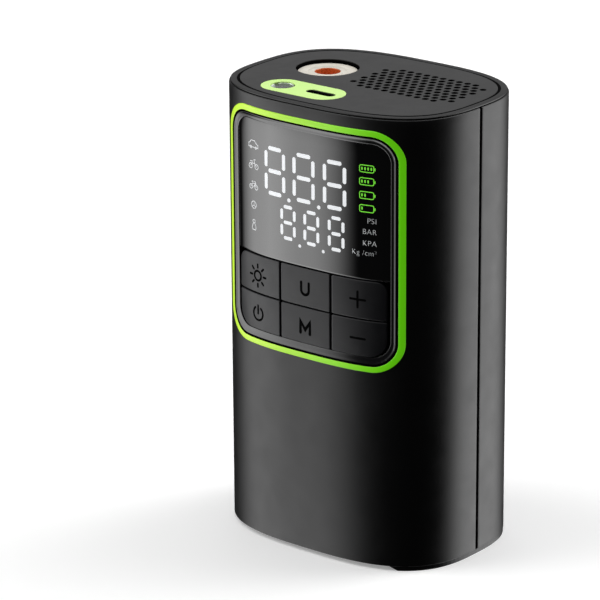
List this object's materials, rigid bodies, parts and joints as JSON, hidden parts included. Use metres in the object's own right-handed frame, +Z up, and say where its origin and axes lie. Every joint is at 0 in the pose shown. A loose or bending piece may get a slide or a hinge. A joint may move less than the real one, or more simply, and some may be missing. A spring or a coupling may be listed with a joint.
{
  "type": "portable tire inflator",
  "caption": "Hand-held cordless tire inflator: oval upright body with display and keypad window, threaded air outlet, torch, charging socket and vent grille on top.",
  "frame": {"origin": "on the resting plane, under the middle of the body", "axes": "+Z up, front panel towards -Y, +X to the right seen from the front"},
  "size_m": [0.075, 0.0564, 0.127],
  "materials": {
    "shell": "fine satin texture",
    "trim": "satin",
    "feet": "matte",
    "lime": "gloss",
    "pale_lime": "satin",
    "display_glass": "polished, smoked",
    "display_light": "lit segments",
    "button": "satin",
    "icon": "printed",
    "silicone": "matte",
    "board": "solder mask",
    "switch": "satin",
    "screw": "zinc plated",
    "steel": "ground",
    "socket": "stamped, plated",
    "reflector": "vacuum plated",
    "led": "phosphor dome",
    "clear": "clear",
    "ivory": "satin",
    "copper": "turned",
    "brass": "turned",
    "tube": "smooth",
    "cell": "shrink sleeve",
    "holder": "moulded",
    "motor_steel": "plated can",
    "nylon": "moulded",
    "leads": "insulated wire",
    "frame_plastic": "glass filled",
    "bronze": "sintered",
    "cast_alloy": "die cast",
    "valve_rubber": "moulded"
  },
  "bodies": {
    "casing": {"front_shell": "shell", "rear_shell": "shell", "top_frame": "trim", "top_cover": "trim", "bottom_cover": "shell", "end_feet": "feet", "panel_ring": "lime", "panel_bezel": "trim", "display_lens": "display_glass", "display_module": "switch", "keypad_mat": "silicone", "control_board": "board", "tact_switches": "switch", "board_screws": "screw", "pressure_sensor": "switch", "port_plate": "pale_lime", "port_board": "board", "usb_socket": "socket", "torch_reflector": "reflector", "torch_led": "led", "torch_lens": "clear", "outlet_ring": "ivory", "outlet_fitting": "copper", "air_tube": "tube", "battery_cells": "cell", "battery_holder": "holder", "cell_tab": "steel", "motor_can": "motor_steel", "motor_end_cap": "nylon", "motor_leads": "leads", "motor_screws": "screw", "pump_frame": "frame_plastic", "gear_axle": "steel", "cylinder": "cast_alloy", "cylinder_head": "cast_alloy", "head_screws": "screw", "valve_spring": "steel", "frame_screws": "screw", "case_screws": "screw"},
    "rotor": {"motor_shaft": "steel", "pinion": "brass"},
    "crank": {"drive_gear": "nylon", "gear_bushing": "bronze", "crank_pin": "steel"},
    "piston": {"piston_rod": "cast_alloy", "piston_seal": "valve_rubber"},
    "valve": {"check_valve": "valve_rubber"},
    "light_key": {"light_button": "button"},
    "unit_key": {"unit_button": "button"},
    "plus_key": {"plus_button": "button"},
    "power_key": {"power_button": "button"},
    "mode_key": {"mode_button": "button"},
    "minus_key": {"minus_button": "button"}
  },
  "joints": [
    {"name": "gear_spin", "type": "hinge", "parent": "casing", "child": "crank", "pos_m": [-0.014, 0.011, 0.0406], "axis": [0, 1, 0], "continuous": true},
    {"name": "motor_spin", "type": "hinge", "parent": "casing", "child": "rotor", "pos_m": [-0.006, 0.011, 0.02054], "axis": [0, 1, 0], "continuous": true},
    {"name": "piston_slide", "type": "slide", "parent": "casing", "child": "piston", "axis": [0, 0, 1], "range_m": [0, 0.01]},
    {"name": "valve_lift", "type": "slide", "parent": "casing", "child": "valve", "axis": [0, 0, 1], "range_m": [0, 0.0008], "stiffness_N_per_m": 200, "springref_m": -0.0005, "deforming": ["valve_spring"]},
    {"name": "light_press", "type": "slide", "parent": "casing", "child": "light_key", "axis": [0, 1, 0], "range_m": [0, 0.0006], "stiffness_N_per_m": 800, "springref_m": -0.0005},
    {"name": "unit_press", "type": "slide", "parent": "casing", "child": "unit_key", "axis": [0, 1, 0], "range_m": [0, 0.0006], "stiffness_N_per_m": 800, "springref_m": -0.0005},
    {"name": "plus_press", "type": "slide", "parent": "casing", "child": "plus_key", "axis": [0, 1, 0], "range_m": [0, 0.0006], "stiffness_N_per_m": 800, "springref_m": -0.0005},
    {"name": "power_press", "type": "slide", "parent": "casing", "child": "power_key", "axis": [0, 1, 0], "range_m": [0, 0.0006], "stiffness_N_per_m": 800, "springref_m": -0.0005},
    {"name": "mode_press", "type": "slide", "parent": "casing", "child": "mode_key", "axis": [0, 1, 0], "range_m": [0, 0.0006], "stiffness_N_per_m": 800, "springref_m": -0.0005},
    {"name": "minus_press", "type": "slide", "parent": "casing", "child": "minus_key", "axis": [0, 1, 0], "range_m": [0, 0.0006], "stiffness_N_per_m": 800, "springref_m": -0.0005}
  ],
  "couplings": [
    {"joint": "motor_spin", "follows": "gear_spin", "ratio": -4.4}
  ]
}
